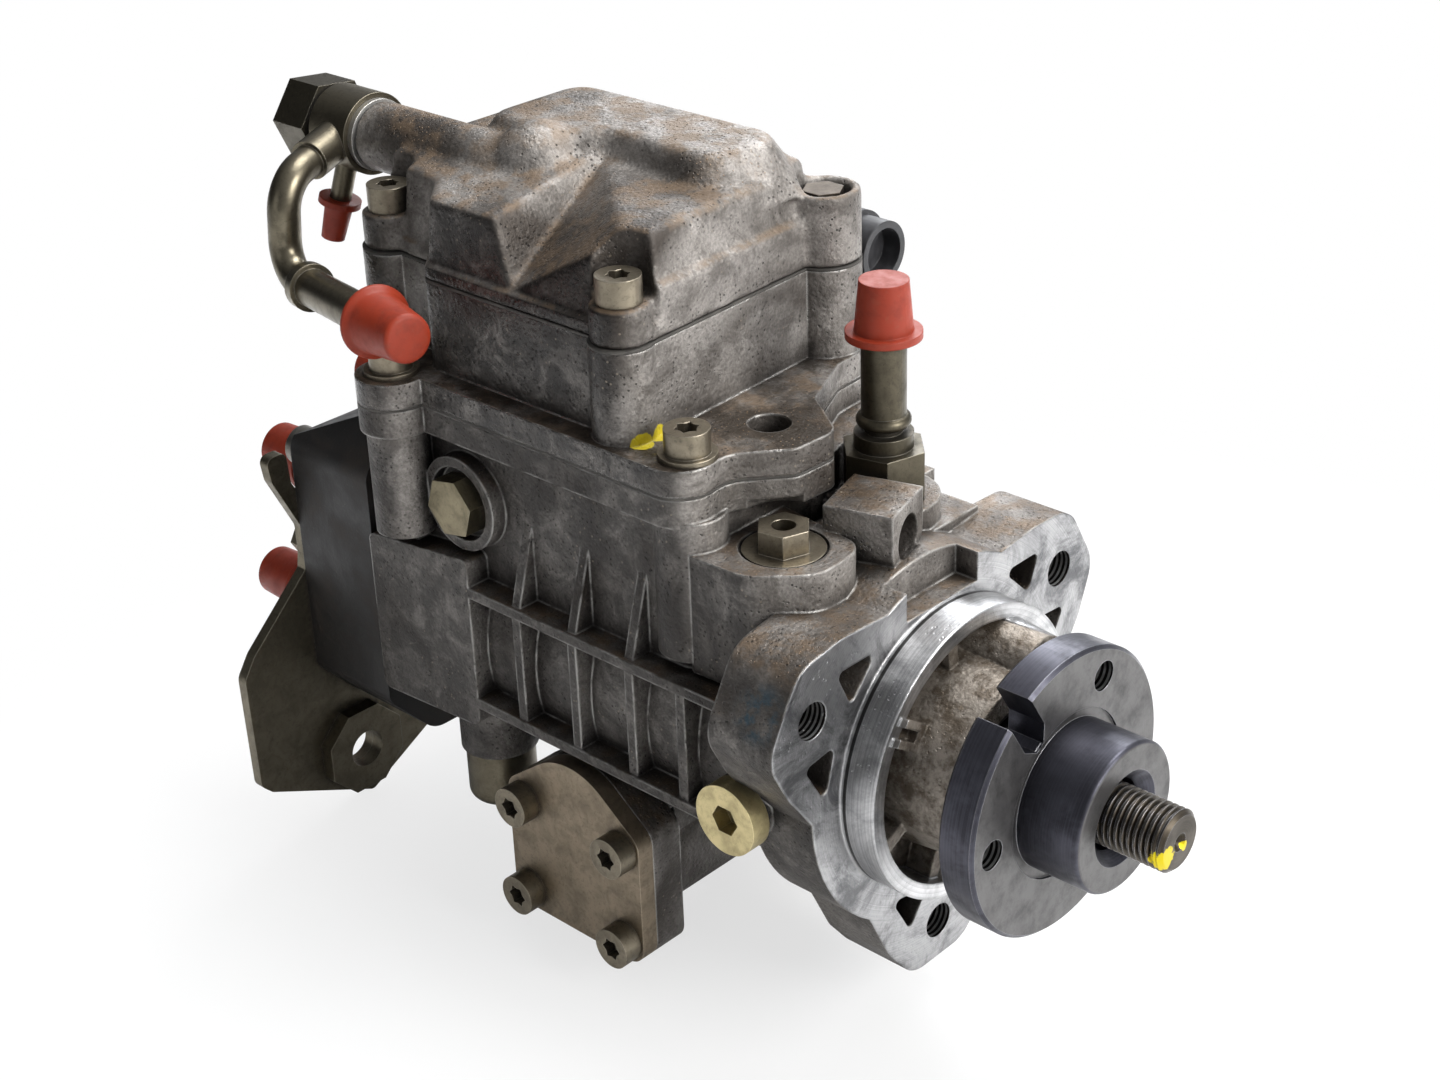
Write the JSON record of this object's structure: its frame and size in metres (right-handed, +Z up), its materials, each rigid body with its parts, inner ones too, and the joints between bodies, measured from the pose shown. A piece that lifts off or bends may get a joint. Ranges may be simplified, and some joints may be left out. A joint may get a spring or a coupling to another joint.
{
  "type": "diesel injection pump",
  "caption": "Distributor-type diesel injection pump with flange, drive hub, ribbed cast housing, top actuator housing, return pipe, capped fittings and a rear support bracket.",
  "frame": {"origin": "on the drive axis, in the mounting face of the three-lobed flange", "axes": "+X along the drive shaft out of the flange, +Z up towards the cover, +Y to the connector side"},
  "size_m": [0.2557, 0.143, 0.1887],
  "materials": {
    "aged_cast_aluminium": "weathered cast",
    "gasket": "matt",
    "plated_screws": "worn plating",
    "dark_head": "dark coated",
    "dark_steel": "dark",
    "bright_steel": "ground",
    "spring_steel": "drawn",
    "red_caps": "soft satin",
    "gold_plated": "yellow zinc plating",
    "sealing_washer": "plain",
    "seal_rubber": "matt",
    "bearing_bronze": "plain",
    "dark_hub": "gunmetal",
    "black_plastic": "matt"
  },
  "bodies": {
    "housing": {"pump_housing": "aged_cast_aluminium", "actuator_housing": "aged_cast_aluminium", "actuator_gasket": "gasket", "top_cover": "aged_cast_aluminium", "cover_gasket": "gasket", "cover_screws": "plated_screws", "cover_hex_bolt": "plated_screws", "actuator_screws": "plated_screws", "distributor_head": "dark_head", "head_screws": "dark_steel", "delivery_valve_holders": "bright_steel", "delivery_valve_springs": "spring_steel", "delivery_caps": "red_caps", "central_plug": "dark_steel", "shutoff_solenoid": "gold_plated", "support_bracket": "gold_plated", "bracket_nut": "dark_steel", "bracket_screws": "plated_screws", "banjo_bolt": "gold_plated", "banjo_washers": "sealing_washer", "return_pipe": "gold_plated", "return_pipe_cap": "red_caps", "nipple_cap": "red_caps", "inlet_fitting": "gold_plated", "inlet_cap": "red_caps", "pressure_valve": "plated_screws", "side_hex_bolt": "gold_plated", "locking_plug": "gold_plated", "timing_cover_near": "gold_plated", "timing_cover_far": "gold_plated", "timing_cover_screws": "plated_screws", "timing_spring": "spring_steel", "timing_solenoid": "gold_plated", "front_bearing": "bearing_bronze", "shaft_seal": "seal_rubber", "eccentric_ring": "bright_steel", "vane_pump_plate": "bright_steel", "plunger_springs": "spring_steel", "actuator_core": "dark_steel", "position_sensor": "black_plastic", "electrical_connector": "black_plastic"},
    "drivetrain": {"drive_shaft": "bright_steel", "shaft_key": "bright_steel", "drive_hub": "dark_hub", "vane_rotor": "bright_steel", "vanes": "bright_steel", "cross_coupling": "bright_steel"},
    "plunger_set": {"cam_plate": "bright_steel", "plunger": "bright_steel"},
    "spring_yoke": {"spring_bridge": "bright_steel"},
    "advance_piston": {"timing_piston": "bright_steel"},
    "roller_ring_set": {"roller_ring": "bright_steel", "rollers": "bright_steel", "timing_pin": "bright_steel"},
    "actuator_rotor": {"actuator_shaft": "bright_steel"},
    "collar": {"control_collar": "bright_steel"},
    "outlet_valves": {"delivery_valves": "bright_steel"},
    "regulating_piston": {"pressure_valve_piston": "bright_steel"},
    "shutoff_plunger": {"shutoff_armature": "bright_steel"}
  },
  "joints": [
    {"name": "drive_spin", "type": "hinge", "parent": "housing", "child": "drivetrain", "pos_m": [0, 0, 0], "axis": [1, 0, 0], "continuous": true},
    {"name": "plunger_stroke", "type": "slide", "parent": "drivetrain", "child": "plunger_set", "axis": [-1, 0, 0], "range_m": [0, 0.0012], "stiffness_N_per_m": 8000},
    {"name": "bridge_slide", "type": "slide", "parent": "housing", "child": "spring_yoke", "axis": [-1, 0, 0], "range_m": [0, 0.0012], "deforming": ["plunger_springs"]},
    {"name": "timing_advance", "type": "slide", "parent": "housing", "child": "advance_piston", "axis": [0, 1, 0], "range_m": [0, 0.0075], "stiffness_N_per_m": 3000, "deforming": ["timing_spring"]},
    {"name": "roller_ring_turn", "type": "hinge", "parent": "housing", "child": "roller_ring_set", "pos_m": [-0.07, 0, 0], "axis": [1, 0, 0], "range_deg": [0, 10]},
    {"name": "actuator_turn", "type": "hinge", "parent": "housing", "child": "actuator_rotor", "pos_m": [-0.114, 0, 0.05], "axis": [0, 0, 1], "range_deg": [0, 61]},
    {"name": "collar_slide", "type": "slide", "parent": "housing", "child": "collar", "axis": [-1, 0, 0], "range_m": [0, 0.0028], "stiffness_N_per_m": 1000},
    {"name": "delivery_valve_lift", "type": "slide", "parent": "housing", "child": "outlet_valves", "axis": [-1, 0, 0], "range_m": [0, 0.0015], "stiffness_N_per_m": 2000, "deforming": ["delivery_valve_springs"]},
    {"name": "regulating_piston_lift", "type": "slide", "parent": "housing", "child": "regulating_piston", "axis": [0, 0, 1], "range_m": [0, 0.003], "stiffness_N_per_m": 500},
    {"name": "shutoff_pull", "type": "slide", "parent": "housing", "child": "shutoff_plunger", "axis": [0, 1, 0], "range_m": [0, 0.0015], "stiffness_N_per_m": 1500}
  ],
  "couplings": [
    {"joint": "bridge_slide", "follows": "plunger_stroke", "ratio": 1},
    {"joint": "roller_ring_turn", "follows": "timing_advance", "rad_per_m": 22.83},
    {"joint": "actuator_turn", "follows": "collar_slide", "rad_per_m": 373.9}
  ]
}
